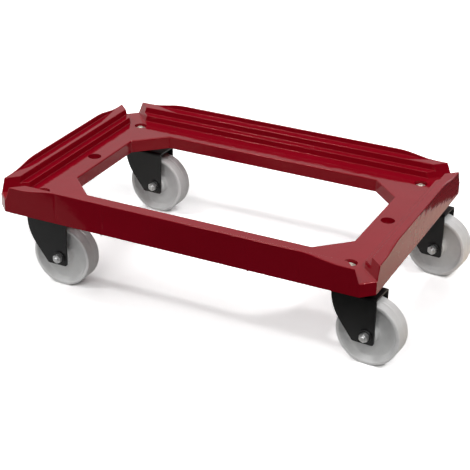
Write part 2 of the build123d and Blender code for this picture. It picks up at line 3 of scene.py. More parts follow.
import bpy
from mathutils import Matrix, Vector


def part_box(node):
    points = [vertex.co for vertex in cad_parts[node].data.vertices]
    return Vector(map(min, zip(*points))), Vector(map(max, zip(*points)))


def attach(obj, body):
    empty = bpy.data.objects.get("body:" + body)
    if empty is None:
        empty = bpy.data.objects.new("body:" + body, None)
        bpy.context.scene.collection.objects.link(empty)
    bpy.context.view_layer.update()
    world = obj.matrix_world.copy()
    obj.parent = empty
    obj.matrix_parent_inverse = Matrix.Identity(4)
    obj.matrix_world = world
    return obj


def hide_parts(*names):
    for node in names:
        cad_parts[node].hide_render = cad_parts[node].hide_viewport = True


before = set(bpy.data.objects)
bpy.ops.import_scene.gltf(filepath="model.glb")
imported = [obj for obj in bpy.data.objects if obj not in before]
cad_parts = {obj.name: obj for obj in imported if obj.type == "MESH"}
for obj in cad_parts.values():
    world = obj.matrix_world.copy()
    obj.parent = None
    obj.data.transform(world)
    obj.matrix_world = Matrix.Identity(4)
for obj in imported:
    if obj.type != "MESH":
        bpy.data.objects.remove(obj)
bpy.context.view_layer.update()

import logging
import math
from dataclasses import dataclass
from enum import Enum
from typing import Any

import bmesh
import bpy
from mathutils import Matrix, Vector

LOG = logging.getLogger("crate_dolly")
MM = 0.001

Colour = tuple[float, float, float, float]
Point = tuple[float, float, float]
Profile = tuple[tuple[float, float], ...]

WHITE: Colour = (1.0, 1.0, 1.0, 1.0)
# Numbers of the colour sockets of a Mix node
MIX_FIRST, MIX_SECOND, MIX_RESULT = 6, 7, 2
# Noise levels at which a finish has reached its first and its second shade
PATCH_LOW, PATCH_HIGH = 0.3, 0.7
# Octaves of the noise in the colour and in the relief
PATCH_DETAIL, RELIEF_DETAIL = 8.0, 1.0
# How squarely a face has to look along Y to count as a long wall
WALL_FACING = 0.9
# How close points have to be to become one, and how close to a ring to lie on it
MERGE_DISTANCE = 0.002 * MM
RING_TOLERANCE = 0.01 * MM
# Edges that turn by more than this many degrees stay sharp
SMOOTH_ANGLE = 32.0
# Steps in the full turn of a blank for a hexagon, and in one turn of a thread
HEX_STEPS = 72
THREAD_STEPS = 36
# Depth of a thread, and where its crest starts and ends, as shares of the pitch
THREAD_DEPTH, CREST_START, CREST_END = 0.61, 0.4, 0.6
# Width of the round end face of a bolt head and of a nut, as a share of the width over flats
HEAD_FACE, NUT_FACE = 0.95, 0.97
# How far the floor cards lie above the floor, in metres
CARD_LIFT = 0.001


class Corner(Enum):
    """The four castors, named for where they stand under the frame."""

    FRONT_LEFT = "front_left"
    FRONT_RIGHT = "front_right"
    REAR_LEFT = "rear_left"
    REAR_RIGHT = "rear_right"


class Rays(Enum):
    """Kinds of ray that see the white background as it is written."""

    CAMERA = "Is Camera Ray"
    GLOSSY = "Is Glossy Ray"
    TRANSMISSION = "Is Transmission Ray"


def linear(hex_colour: str) -> Colour:
    """Turns an sRGB hex colour into linear light.

    Args:
        hex_colour: Six hex digits, such as "990a20".

    Returns:
        Linear red, green, blue and an alpha of 1.
    """
    channels = [int(hex_colour[i : i + 2], 16) / 255 for i in (0, 2, 4)]
    return (*[c / 12.92 if c <= 0.04045 else ((c + 0.055) / 1.055) ** 2.4 for c in channels], 1.0)


def add_node(
    tree: bpy.types.NodeTree,
    kind: str,
    values: dict[str | int, Any] | None = None,
    links: dict[str | int, bpy.types.NodeSocket] | None = None,
    **settings: Any,
) -> bpy.types.Node:
    """Adds a shader node with its settings, input values and incoming links.

    Args:
        tree: Node tree that takes the node.
        kind: Blender's identifier of the node type.
        values: Input values by socket name or number.
        links: Outputs to connect, by the name or number of the input they feed.
        **settings: Properties of the node itself.

    Returns:
        The new node.
    """
    node = tree.nodes.new(kind)
    for key, value in settings.items():
        setattr(node, key, value)
    for key, value in (values or {}).items():
        node.inputs[key].default_value = value
    for key, output in (links or {}).items():
        tree.links.new(output, node.inputs[key])
    return node


def per_metre(size_mm: float) -> float:
    """Noise scale that makes features of a size in millimetres."""
    return 1 / (size_mm * MM)


def empty_material(name: str) -> bpy.types.Material:
    """Makes a node material with nothing in it yet.

    Args:
        name: Name of the material.

    Returns:
        The material.
    """
    material = bpy.data.materials.new(name)
    material.use_nodes = True
    material.node_tree.nodes.clear()
    return material


@dataclass(frozen=True)
class Finish:
    """A real material and the way its surface was made.

    The colour drifts between two shades in soft patches, the gloss drifts with it, and a fine grain over
    long shallow waves breaks up the reflections.
    """

    name: str
    slot: str
    colour: str
    second_colour: str
    patch_mm: float
    roughness: float
    second_roughness: float
    grain_mm: float
    grain_depth_mm: float
    stretch: Point = (1.0, 1.0, 1.0)
    metallic: float = 0.0
    ior: float = 1.5
    gloss_tint: str = "ffffff"
    wave_mm: float = 20.0
    wave_depth_mm: float = 0.0

    def material(self) -> bpy.types.Material:
        """The finish as a Blender material, made once.

        Returns:
            The material with this finish's name.
        """
        made = bpy.data.materials.get(self.name)
        if made is None:
            made = empty_material(self.name)
            self.build(made.node_tree)
        return made

    def build(self, tree: bpy.types.NodeTree) -> None:
        """Fills the node tree.

        Args:
            tree: Empty node tree of the material.
        """
        place = add_node(tree, "ShaderNodeTexCoord").outputs["Object"]
        drawn = add_node(tree, "ShaderNodeMapping", {"Scale": self.stretch}, {"Vector": place})
        noise = {"Scale": per_metre(self.patch_mm), "Detail": PATCH_DETAIL}
        patches = add_node(tree, "ShaderNodeTexNoise", noise, {"Vector": drawn.outputs["Vector"]})
        levels = {"From Min": PATCH_LOW, "From Max": PATCH_HIGH}
        spread = add_node(tree, "ShaderNodeMapRange", levels, {"Value": patches.outputs["Fac"]})
        drift = spread.outputs["Result"]
        shades = {MIX_FIRST: linear(self.colour), MIX_SECOND: linear(self.second_colour)}
        tint = add_node(tree, "ShaderNodeMix", shades, {"Factor": drift}, data_type="RGBA")
        gloss_ends = {"To Min": self.roughness, "To Max": self.second_roughness}
        gloss = add_node(tree, "ShaderNodeMapRange", gloss_ends, {"Value": drift})
        shader = add_node(
            tree,
            "ShaderNodeBsdfPrincipled",
            {"Metallic": self.metallic, "IOR": self.ior, "Specular Tint": linear(self.gloss_tint)},
            {
                "Base Color": tint.outputs[MIX_RESULT],
                "Roughness": gloss.outputs["Result"],
                "Normal": self.relief(tree, place),
            },
        )
        add_node(tree, "ShaderNodeOutputMaterial", links={"Surface": shader.outputs["BSDF"]})

    def relief(self, tree: bpy.types.NodeTree, place: bpy.types.NodeSocket) -> bpy.types.NodeSocket:
        """Adds the fine grain of the surface over its long waves.

        Args:
            tree: Node tree of the material.
            place: Object coordinates.

        Returns:
            The bumped normal.
        """
        layers = ((self.wave_mm, self.wave_depth_mm), (self.grain_mm, self.grain_depth_mm))
        normal = None
        for size, depth in layers:
            scale = {"Scale": per_metre(size), "Detail": RELIEF_DETAIL}
            height = add_node(tree, "ShaderNodeTexNoise", scale, {"Vector": place}).outputs["Fac"]
            links = {"Height": height, "Normal": normal} if normal else {"Height": height}
            bump = {"Strength": 1.0, "Distance": depth * MM}
            normal = add_node(tree, "ShaderNodeBump", bump, links).outputs["Normal"]
        return normal


@dataclass(frozen=True)
class RibbedMoulding(Finish):
    """A glossy moulding with ribs behind its long walls, which sank over each rib and bulge in between."""

    middle_mm: float = -18.695
    rib_pitch_mm: float = 80.0
    sink_half_mm: float = 4.0
    sink_mm: float = 0.12
    bulge_mm: float = 0.35

    def relief(self, tree: bpy.types.NodeTree, place: bpy.types.NodeSocket) -> bpy.types.NodeSocket:
        """Adds the sink marks and bulges of the long walls to the grain and waves.

        Args:
            tree: Node tree of the material.
            place: Object coordinates.

        Returns:
            The bumped normal.
        """
        middle = {1: self.middle_mm * MM}
        spot = add_node(tree, "ShaderNodeSeparateXYZ", links={0: place}).outputs["X"]
        centred = add_node(tree, "ShaderNodeMath", middle, {0: spot}, operation="SUBTRACT").outputs[0]
        normal = add_node(tree, "ShaderNodeNewGeometry").outputs["True Normal"]
        facing = add_node(tree, "ShaderNodeSeparateXYZ", links={0: normal}).outputs["Y"]
        upright = add_node(tree, "ShaderNodeMath", links={0: facing}, operation="ABSOLUTE").outputs[0]
        least = {1: WALL_FACING}
        wall = add_node(tree, "ShaderNodeMath", least, {0: upright}, operation="GREATER_THAN").outputs[0]
        on_wall = {0: wall, 1: centred}
        along = add_node(tree, "ShaderNodeMath", links=on_wall, operation="MULTIPLY").outputs[0]
        half = self.rib_pitch_mm / 2 * MM
        between = add_node(tree, "ShaderNodeMath", {1: half}, {0: along}, operation="PINGPONG").outputs[0]
        sink_start = half - self.sink_half_mm * MM
        bulge = {"From Min": 0.0, "From Max": half, "To Min": self.bulge_mm * MM, "To Max": 0.0}
        sink = {"From Min": sink_start, "From Max": half, "To Min": 0.0, "To Max": -self.sink_mm * MM}
        heights = {}
        for number, levels in enumerate((bulge, sink)):
            ramp = add_node(
                tree, "ShaderNodeMapRange", levels, {"Value": between}, interpolation_type="SMOOTHSTEP"
            )
            heights[number] = ramp.outputs["Result"]
        height = add_node(tree, "ShaderNodeMath", links=heights, operation="ADD").outputs[0]
        links = {"Height": height, "Normal": super().relief(tree, place)}
        return add_node(tree, "ShaderNodeBump", {"Strength": 1.0, "Distance": 1.0}, links).outputs["Normal"]


# Injection-moulded ABS: deep carmine and glossy, so reflections are sharp, and wavy where it shrank.
RED_ABS = RibbedMoulding(
    "moulded_red_abs",
    "red_abs",
    "990a20",
    "92091c",
    patch_mm=60.0,
    roughness=0.05,
    second_roughness=0.08,
    grain_mm=10.0,
    grain_depth_mm=0.09,
    stretch=(0.5, 1.0, 1.0),
    ior=1.46,
    gloss_tint="ffb0a8",
    wave_mm=28.0,
    wave_depth_mm=0.2,
)
# Powder-coated steel: satin black with the fine orange peel that the coat leaves when it melts.
BLACK_COAT = Finish(
    "powder_coated_steel",
    "black_painted_steel",
    "0d0d0e",
    "131314",
    patch_mm=14.0,
    roughness=0.36,
    second_roughness=0.44,
    grain_mm=1.6,
    grain_depth_mm=0.02,
    ior=1.45,
)
# Bright zinc plate: pale grey metal, dulled and cloudy from the plating bath.
ZINC = Finish(
    "zinc_plated_steel_bright",
    "zinc_plated_steel",
    "dadada",
    "c5c5c5",
    patch_mm=3.0,
    roughness=0.34,
    second_roughness=0.46,
    grain_mm=0.7,
    grain_depth_mm=0.01,
    metallic=1.0,
)
# Older zinc plate of the deck fixings: duller, with the faint straw tint of its passivation.
DULL_ZINC = Finish(
    "zinc_plated_steel_dull",
    "zinc_plated_steel",
    "c4bbb0",
    "aea59a",
    patch_mm=3.0,
    roughness=0.42,
    second_roughness=0.54,
    grain_mm=0.7,
    grain_depth_mm=0.01,
    metallic=1.0,
)
# Ground and polished bearing steel: a clean dark mirror.
BEARING = Finish(
    "polished_bearing_steel",
    "bearing_steel",
    "b9bbbd",
    "aeb0b3",
    patch_mm=4.0,
    roughness=0.1,
    second_roughness=0.16,
    grain_mm=0.5,
    grain_depth_mm=0.002,
    metallic=1.0,
)
# Turned polyamide of the tread and the rims: milky white and slightly waxy, faintly mottled.
POLYAMIDE = Finish(
    "turned_white_polyamide",
    "white_polyamide",
    "faf9f8",
    "f2f1f0",
    patch_mm=12.0,
    roughness=0.34,
    second_roughness=0.44,
    grain_mm=1.5,
    grain_depth_mm=0.012,
)
# The same polyamide as it left the mould, in the dish and on the hub: duller, and a shade greyer as painted
# shade of the recess.
DULL_POLYAMIDE_PAINTED_SHADE = Finish(
    "dull_polyamide_painted_shade",
    "white_polyamide",
    "eeeeed",
    "e6e6e5",
    patch_mm=12.0,
    roughness=0.5,
    second_roughness=0.6,
    grain_mm=1.0,
    grain_depth_mm=0.02,
)
# Moulded nylon ring of a lock nut: grey and waxy.
NYLON = Finish(
    "moulded_nylon_insert",
    "white_polyamide",
    "a8aaa9",
    "989a99",
    patch_mm=2.0,
    roughness=0.45,
    second_roughness=0.55,
    grain_mm=0.6,
    grain_depth_mm=0.01,
)


def turned(profile: Profile, steps: int, closed: bool) -> bmesh.types.BMesh:
    """A shape turned about the Z axis.

    Args:
        profile: Radius and height of each corner, in millimetres.
        steps: Number of steps in the full turn.
        closed: True for a ring, whose last corner joins the first. False for a solid that starts and
            ends on the axis.

    Returns:
        The turned mesh in metres, closed and facing outwards.
    """
    mesh = bmesh.new()
    corners = [mesh.verts.new((radius * MM, 0, height * MM)) for radius, height in profile]
    ends = list(zip(corners, corners[1:] + corners[:1]))
    edges = [mesh.edges.new(pair) for pair in (ends if closed else ends[:-1])]
    bmesh.ops.spin(
        mesh,
        geom=corners + edges,
        cent=(0, 0, 0),
        axis=(0, 0, 1),
        angle=math.tau,
        steps=steps,
        use_merge=True,
    )
    bmesh.ops.remove_doubles(mesh, verts=mesh.verts, dist=MERGE_DISTANCE)
    bmesh.ops.recalc_face_normals(mesh, faces=mesh.faces)
    return mesh


def round_ring(
    mesh: bmesh.types.BMesh, radius: float, height: float, size: float, segments: int = 4
) -> None:
    """Rounds the ring-shaped edge at a radius and height of a turned shape.

    Args:
        mesh: Turned mesh.
        radius: Radius of the edge in millimetres.
        height: Height of the edge in millimetres.
        size: How far the rounding reaches along each face, in millimetres.
        segments: Number of faces across the rounding.
    """
    def on_ring(vert: bmesh.types.BMVert) -> bool:
        """True for a vertex on the edge."""
        out = abs(math.hypot(vert.co.x, vert.co.y) - radius * MM)
        return max(out, abs(vert.co.z - height * MM)) < RING_TOLERANCE

    ring = [edge for edge in mesh.edges if all(on_ring(vert) for vert in edge.verts)]
    bmesh.ops.bevel(
        mesh, geom=ring, offset=size * MM, segments=segments, profile=0.5, affect="EDGES", material=-1
    )


def cut_off(mesh: bmesh.types.BMesh, point: Vector, outward: Vector) -> None:
    """Cuts off what lies outside a plane and closes the cut.

    Args:
        mesh: Mesh to cut.
        point: A point of the plane, in metres.
        outward: Direction of the side that goes.
    """
    cut = bmesh.ops.bisect_plane(
        mesh,
        geom=list(mesh.verts) + list(mesh.edges) + list(mesh.faces),
        plane_co=point,
        plane_no=outward,
        clear_outer=True,
    )
    rim = [item for item in cut["geom_cut"] if isinstance(item, bmesh.types.BMEdge)]
    bmesh.ops.contextual_create(mesh, geom=rim)


def mill_hexagon(mesh: bmesh.types.BMesh, across_flats: float) -> None:
    """Mills six flats on a turned blank, as a nut or a bolt head is made.

    Args:
        mesh: Turned mesh, thinner than the flats wherever it stays round.
        across_flats: Width over two flats in millimetres.
    """
    for step in range(6):
        outward = Vector((math.cos(math.tau * step / 6), math.sin(math.tau * step / 6), 0))
        cut_off(mesh, outward * across_flats / 2 * MM, outward)
    bmesh.ops.recalc_face_normals(mesh, faces=mesh.faces)


def threaded_rod(radius: float, pitch: float, low: float, high: float) -> bmesh.types.BMesh:
    """A rod with a screw thread along the Z axis and a chamfered upper end.

    Args:
        radius: Radius over the thread's crests in millimetres.
        pitch: Rise of the thread in one turn in millimetres.
        low: Level of the lower end in millimetres.
        high: Level of the upper end in millimetres.

    Returns:
        The closed mesh in metres.
    """
    depth = THREAD_DEPTH * pitch
    chamfer = depth
    mesh = bmesh.new()
    turns = math.ceil((high - low) / pitch) + 2
    line = []
    for turn in range(turns):
        level = low + (turn - 1.5) * pitch
        for share, sink in ((0.0, depth), (CREST_START, 0.0), (CREST_END, 0.0)):
            line.append(mesh.verts.new(((radius - sink) * MM, 0, (level + share * pitch) * MM)))
    edges = [mesh.edges.new(pair) for pair in zip(line, line[1:])]
    bmesh.ops.spin(
        mesh,
        geom=line + edges,
        cent=(0, 0, 0),
        axis=(0, 0, 1),
        dvec=(0, 0, pitch * MM / THREAD_STEPS),
        angle=math.tau,
        steps=THREAD_STEPS,
    )
    bmesh.ops.remove_doubles(mesh, verts=mesh.verts, dist=MERGE_DISTANCE)
    for level, up in ((low, -1), (high - chamfer, 1)):
        cut_off(mesh, Vector((0, 0, level * MM)), Vector((0, 0, up)))
    end = max(mesh.faces, key=lambda face: face.calc_center_median().z)
    tip = bmesh.ops.extrude_discrete_faces(mesh, faces=[end])["faces"][0]
    bmesh.ops.translate(mesh, verts=tip.verts, vec=(0, 0, chamfer * MM))
    narrowed = (radius - chamfer) / radius
    bmesh.ops.scale(mesh, verts=tip.verts, vec=(narrowed, narrowed, 1))
    bmesh.ops.recalc_face_normals(mesh, faces=mesh.faces)
    return mesh


def hexagon_nut(
    across_flats: float, bore: float, low: float, high: float, chamfer: float
) -> bmesh.types.BMesh:
    """A hexagon nut about the Z axis.

    Args:
        across_flats: Width over two flats in millimetres.
        bore: Radius of the hole in millimetres.
        low: Level of the lower face in millimetres.
        high: Level of the upper face in millimetres.
        chamfer: How far the turned-down corners reach along the axis, in millimetres.

    Returns:
        The closed mesh in metres.
    """
    corner = across_flats / math.sqrt(3)
    flat = across_flats / 2 * NUT_FACE
    blank = turned(
        (
            (bore, low + chamfer / 2),
            (bore + chamfer / 2, low),
            (flat, low),
            (corner, low + chamfer),
            (corner, high - chamfer),
            (flat, high),
            (bore + chamfer / 2, high),
            (bore, high - chamfer / 2),
        ),
        steps=HEX_STEPS,
        closed=True,
    )
    mill_hexagon(blank, across_flats)
    return blank


@dataclass(frozen=True)
class HexagonBolt:
    """A bolt along the Z axis with its head at the lower end. Sizes and levels are in millimetres."""

    across_flats: float
    radius: float
    pitch: float
    chamfer: float
    head_low: float
    head_high: float
    thread_low: float
    end: float

    def meshes(self) -> list[bmesh.types.BMesh]:
        """Makes the bolt.

        Returns:
            The hexagon head with its plain shank, and the threaded end, both closed and in metres.
        """
        corner = self.across_flats / math.sqrt(3)
        flat = self.across_flats / 2 * HEAD_FACE
        shank = turned(
            (
                (0, self.head_low),
                (flat, self.head_low),
                (corner, self.head_low + self.chamfer),
                (corner, self.head_high),
                (self.radius, self.head_high),
                (self.radius, self.thread_low),
                (0, self.thread_low),
            ),
            steps=HEX_STEPS,
            closed=False,
        )
        mill_hexagon(shank, self.across_flats)
        return [shank, threaded_rod(self.radius, self.pitch, self.thread_low, self.end)]


def add_piece(
    name: str,
    meshes: list[bmesh.types.BMesh],
    place: Matrix,
    finish: Finish,
    body: str,
    stands_for: str | None = None,
    second_finish: Finish | None = None,
) -> None:
    """Makes a finished piece of the object, which sits at the origin, out of one or more meshes.

    Args:
        name: Name of the piece.
        meshes: Meshes that make up the piece, which are used up.
        place: Where the meshes stand in the shared frame.
        finish: Finish of the piece.
        body: CAD body that it moves with.
        stands_for: CAD node that it replaces, if any.
        second_finish: Finish of the faces that carry the second material, if any.
    """
    data = bpy.data.meshes.new(name)
    whole = bmesh.new()
    for mesh in meshes:
        part = bpy.data.meshes.new(name + ".part")
        mesh.to_mesh(part)
        mesh.free()
        whole.from_mesh(part)
        bpy.data.meshes.remove(part)
    bmesh.ops.transform(whole, matrix=place, verts=whole.verts)
    whole.to_mesh(data)
    whole.free()
    data.shade_smooth()
    data.set_sharp_from_angle(angle=math.radians(SMOOTH_ANGLE))
    for coat in (finish, second_finish):
        if coat:
            data.materials.append(coat.material())
    piece = bpy.data.objects.new(name, data)
    bpy.context.scene.collection.objects.link(piece)
    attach(piece, body)
    if stands_for:
        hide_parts(stands_for)
    LOG.info("%s: %d faces, moves with %s", name, len(data.polygons), body)


def dress_node(node: str, finish: Finish) -> None:
    """Gives a CAD node that stays in view its finish.

    Args:
        node: Name of the CAD node.
        finish: Its finish.
    """
    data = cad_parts[node].data
    data.materials.clear()
    data.materials.append(finish.material())
    LOG.info("%s: CAD node in %s", node, finish.name)


@dataclass
class MouldedFrame:
    """The red frame: deck, stepped rims and skirts in one moulding."""

    finish: Finish = RED_ABS

    def build(self) -> None:
        """Dresses the frame."""
        dress_node("deck_frame", self.finish)


@dataclass
class DeckFixing:
    """Bolt, washer and nut that hold a castor in its recess in the deck. Sizes are in millimetres."""

    corner: Corner
    thread_radius: float = 5.0
    pitch: float = 1.5
    head_low: float = 95.6
    head_high: float = 102.0
    washer_low: float = 133.0
    nut_low: float = 135.0
    nut_high: float = 143.0
    end: float = 145.5
    across_flats: float = 16.0
    washer_radius: float = 9.8
    washer_rounding: float = 0.5
    washer_steps: int = 64
    bore: float = 5.2
    chamfer: float = 1.1

    def place(self) -> Matrix:
        """Finds the kingpin's axis from its CAD node.

        Returns:
            The shift from the origin to the axis, on the floor.
        """
        low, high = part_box(f"kingpin_{self.corner.value}")
        middle = (low + high) / 2
        return Matrix.Translation((middle.x, middle.y, 0))

    def build(self) -> None:
        """Builds and dresses the bolt, the washer and the nut."""
        pieces = {"bolt": self.bolt(), "washer": [self.washer()], "nut": [self.nut()]}
        for kind, meshes in pieces.items():
            ending = f"{kind}_{self.corner.value}"
            add_piece(f"deck_{ending}", meshes, self.place(), DULL_ZINC, "base", f"mounting_{ending}")

    def bolt(self) -> list[bmesh.types.BMesh]:
        """Bolt from under the kingpin's flange up into the nut.

        Returns:
            The head with its shank, and the threaded end.
        """
        return HexagonBolt(
            self.across_flats,
            self.thread_radius,
            self.pitch,
            self.chamfer,
            self.head_low,
            self.head_high,
            self.washer_low,
            self.end,
        ).meshes()

    def washer(self) -> bmesh.types.BMesh:
        """Punched washer with one rounded edge.

        Returns:
            The closed mesh in metres.
        """
        ring = turned(
            (
                (self.bore, self.washer_low),
                (self.washer_radius, self.washer_low),
                (self.washer_radius, self.nut_low),
                (self.bore, self.nut_low),
            ),
            steps=self.washer_steps,
            closed=True,
        )
        round_ring(ring, self.washer_radius, self.nut_low, self.washer_rounding, 3)
        return ring

    def nut(self) -> bmesh.types.BMesh:
        """Hexagon nut with its corners turned down at both ends."""
        return hexagon_nut(self.across_flats, self.thread_radius, self.nut_low, self.nut_high, self.chamfer)


@dataclass
class Castor:
    """A swivel castor: fork, wheel, axle and the ball bearing above. Sizes are in millimetres."""

    corner: Corner
    wheel_radius: float = 50.0
    tread_half_width: float = 16.0
    tread_rounding: float = 1.5
    rim_inner_radius: float = 45.0
    rim_rounding: float = 0.9
    dish_radius: float = 40.0
    dish_rounding: float = 1.7
    web_half: float = 5.5
    hub_radius: float = 16.0
    hub_half_width: float = 18.0
    hub_rounding: float = 1.5
    hub_foot_rounding: float = 3.0
    bore_radius: float = 6.06
    bore_rounding: float = 0.6
    parting_ridge: float = 0.06
    ring_places: tuple[float, ...] = (4.0, 7.5, 11.0)
    ring_half_width: float = 0.5
    ring_depth: float = 0.08
    wheel_steps: int = 160
    axle_seat: float = 24.0
    bolt_radius: float = 4.0
    bolt_pitch: float = 1.25
    bolt_end: float = 34.0
    thread_below_seat: float = 1.0
    across_flats: float = 13.0
    head_height: float = 5.3
    nut_height: float = 8.0
    hex_share: float = 0.8
    collar_radius: float = 5.3
    collar_rounding: float = 0.55
    collar_steps: int = 56
    collar_lip: float = 0.3
    collar_lip_height: float = 0.4
    insert_radius: float = 4.8
    insert_steps: int = 48
    chamfer: float = 0.7

    def axle(self) -> Matrix:
        """Finds the axle at rest from the CAD nodes of the wheel and the kingpin.

        Returns:
            The axle's frame: local Z runs along the axle towards the front, and local Y is up.
        """
        low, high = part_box(f"wheel_{self.corner.value}")
        centre = (low + high) / 2
        low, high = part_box(f"kingpin_{self.corner.value}")
        trail = centre - (low + high) / 2
        turn = Matrix.Rotation(math.atan2(trail.y, trail.x), 4, "Z")
        return Matrix.Translation(centre) @ turn @ Matrix.Rotation(math.pi / 2, 4, "X")

    def build(self) -> None:
        """Builds and dresses every piece of the castor."""
        name = self.corner.value
        swivels = f"castor_{name}"
        for node in ("swivel_head", "kingpin", "axle_tube"):
            dress_node(f"{node}_{name}", ZINC)
        for node in ("upper_balls", "lower_balls"):
            dress_node(f"{node}_{name}", BEARING)
        dress_node(f"fork_{name}", BLACK_COAT)
        # The wheel's second finish is the greyer polyamide that paints shade into its dish and onto its
        # hub.
        add_piece(
            f"castor_wheel_{name}",
            [self.wheel()],
            self.axle(),
            POLYAMIDE,
            f"roller_{name}",
            f"wheel_{name}",
            DULL_POLYAMIDE_PAINTED_SHADE,
        )
        add_piece(f"axle_screw_{name}", self.bolt(), self.axle(), ZINC, swivels, f"axle_bolt_{name}")
        add_piece(f"lock_nut_{name}", self.nut(), self.axle(), ZINC, swivels, f"axle_nut_{name}")
        add_piece(f"nylon_insert_{name}", [self.insert()], self.axle(), NYLON, swivels)

    def wheel(self) -> bmesh.types.BMesh:
        """Wheel dished on both sides, with fine turned rings and a ridge where the mould's halves met.

        Returns:
            The closed mesh in metres, whose faces inside the rims carry the second material, a greyer
            finish that paints shade into the dish and onto the hub.
        """
        tread = self.wheel_radius - self.parting_ridge
        groove = ((0.0, self.ring_half_width), (self.ring_depth, 0.0), (0.0, -self.ring_half_width))
        rings = tuple(
            (tread - sink, place + shift) for place in reversed(self.ring_places) for sink, shift in groove
        )
        half = (
            (self.bore_radius, self.hub_half_width),
            (self.hub_radius, self.hub_half_width),
            (self.hub_radius, self.web_half),
            (self.dish_radius, self.web_half),
            (self.rim_inner_radius, self.tread_half_width),
            (tread, self.tread_half_width),
            *rings,
            (tread, 2 * self.parting_ridge),
        )
        whole = half + ((self.wheel_radius, 0.0),) + tuple((r, -h) for r, h in reversed(half))
        wheel = turned(whole, steps=self.wheel_steps, closed=True)
        rounded = (
            (self.bore_radius, self.hub_half_width, self.bore_rounding, 2),
            (self.hub_radius, self.hub_half_width, self.hub_rounding, 4),
            (self.hub_radius, self.web_half, self.hub_foot_rounding, 5),
            (self.dish_radius, self.web_half, self.dish_rounding, 5),
            (self.rim_inner_radius, self.tread_half_width, self.rim_rounding, 4),
            (tread, self.tread_half_width, self.tread_rounding, 5),
        )
        for side in (-1, 1):
            for radius, height, size, segments in rounded:
                round_ring(wheel, radius, side * height, size, segments)
        # Faces inside the rims take the greyer finish: painted shade in the dish and on the hub.
        for face in wheel.faces:
            middle = face.calc_center_median()
            face.material_index = int(math.hypot(middle.x, middle.y) < self.rim_inner_radius * MM)
        return wheel

    def bolt(self) -> list[bmesh.types.BMesh]:
        """Bolt with its head at the rear leg and its threaded end at the front leg.

        Returns:
            The head with its shank, and the threaded end.
        """
        return HexagonBolt(
            self.across_flats,
            self.bolt_radius,
            self.bolt_pitch,
            self.chamfer,
            -self.axle_seat - self.head_height,
            -self.axle_seat,
            self.axle_seat - self.thread_below_seat,
            self.bolt_end,
        ).meshes()

    def nut(self) -> list[bmesh.types.BMesh]:
        """Lock nut on the front leg: a hexagon, and the collar that is rolled over the nylon ring.

        Returns:
            The two closed meshes in metres.
        """
        seat = self.axle_seat
        shoulder = seat + self.hex_share * self.nut_height
        top = seat + self.nut_height
        lip_radius = self.insert_radius - self.collar_lip
        lip_low = top - self.collar_lip_height
        hexagon = hexagon_nut(self.across_flats, self.bolt_radius, seat, shoulder, self.chamfer)
        collar = turned(
            (
                (self.insert_radius, shoulder - self.chamfer),
                (self.collar_radius, shoulder - self.chamfer),
                (self.collar_radius, top),
                (lip_radius, top),
                (lip_radius, lip_low),
                (self.insert_radius, lip_low),
            ),
            steps=self.collar_steps,
            closed=True,
        )
        round_ring(collar, self.collar_radius, top, self.collar_rounding)
        return [hexagon, collar]

    def insert(self) -> bmesh.types.BMesh:
        """Nylon ring in the lock nut's collar, which grips the thread.

        Returns:
            The closed mesh in metres.
        """
        low = self.axle_seat + self.hex_share * self.nut_height
        high = self.axle_seat + self.nut_height - self.collar_lip_height
        inner, outer = self.bolt_radius, self.insert_radius
        corners = ((inner, low), (outer, low), (outer, high), (inner, high))
        return turned(corners, steps=self.insert_steps, closed=True)


def on_floor(*corners: tuple[float, float]) -> tuple[Point, ...]:
    """Corners of a card that lies on the floor, in metres."""
    return tuple((x, y, CARD_LIFT) for x, y in corners)


@dataclass(frozen=True)
class Card:
    """A matt card of the studio: its grey, its corners in metres and its warmth.

    The corners run anticlockwise seen from its face. The warmth lifts its red and lowers its blue by that
    share.
    """

    name: str
    grey: float
    corners: tuple[Point, ...]
    warmth: float = 0.0


@dataclass(frozen=True)
class Key:
    """A key light: its share of the light on the floor, its width in degrees, and which way it lies."""

    name: str
    share: float
    spread: float
    lean: Point


def ray_switch(tree: bpy.types.NodeTree, rays: tuple[Rays, ...]) -> bpy.types.NodeSocket:
    """Adds a switch that is 1 for some kinds of rays.

    Args:
        tree: Node tree of the floor or the world.
        rays: The kinds of rays.

    Returns:
        The switch's output.
    """
    path = add_node(tree, "ShaderNodeLightPath")
    total = path.outputs[rays[0].value]
    for kind in rays[1:]:
        pair = {0: total, 1: path.outputs[kind.value]}
        total = add_node(tree, "ShaderNodeMath", links=pair, operation="MAXIMUM").outputs[0]
    return total


def add_stage(name: str, mesh: bmesh.types.BMesh, material: bpy.types.Material) -> bpy.types.Object:
    """Makes a stage object, which isn't part of the dolly.

    Args:
        name: Name of the object.
        mesh: Its mesh, which is used up.
        material: Its material.

    Returns:
        The object.
    """
    data = bpy.data.meshes.new(name)
    mesh.to_mesh(data)
    mesh.free()
    data.materials.append(material)
    thing = bpy.data.objects.new(name, data)
    bpy.context.scene.collection.objects.link(thing)
    LOG.info("%s: stage", name)
    return thing


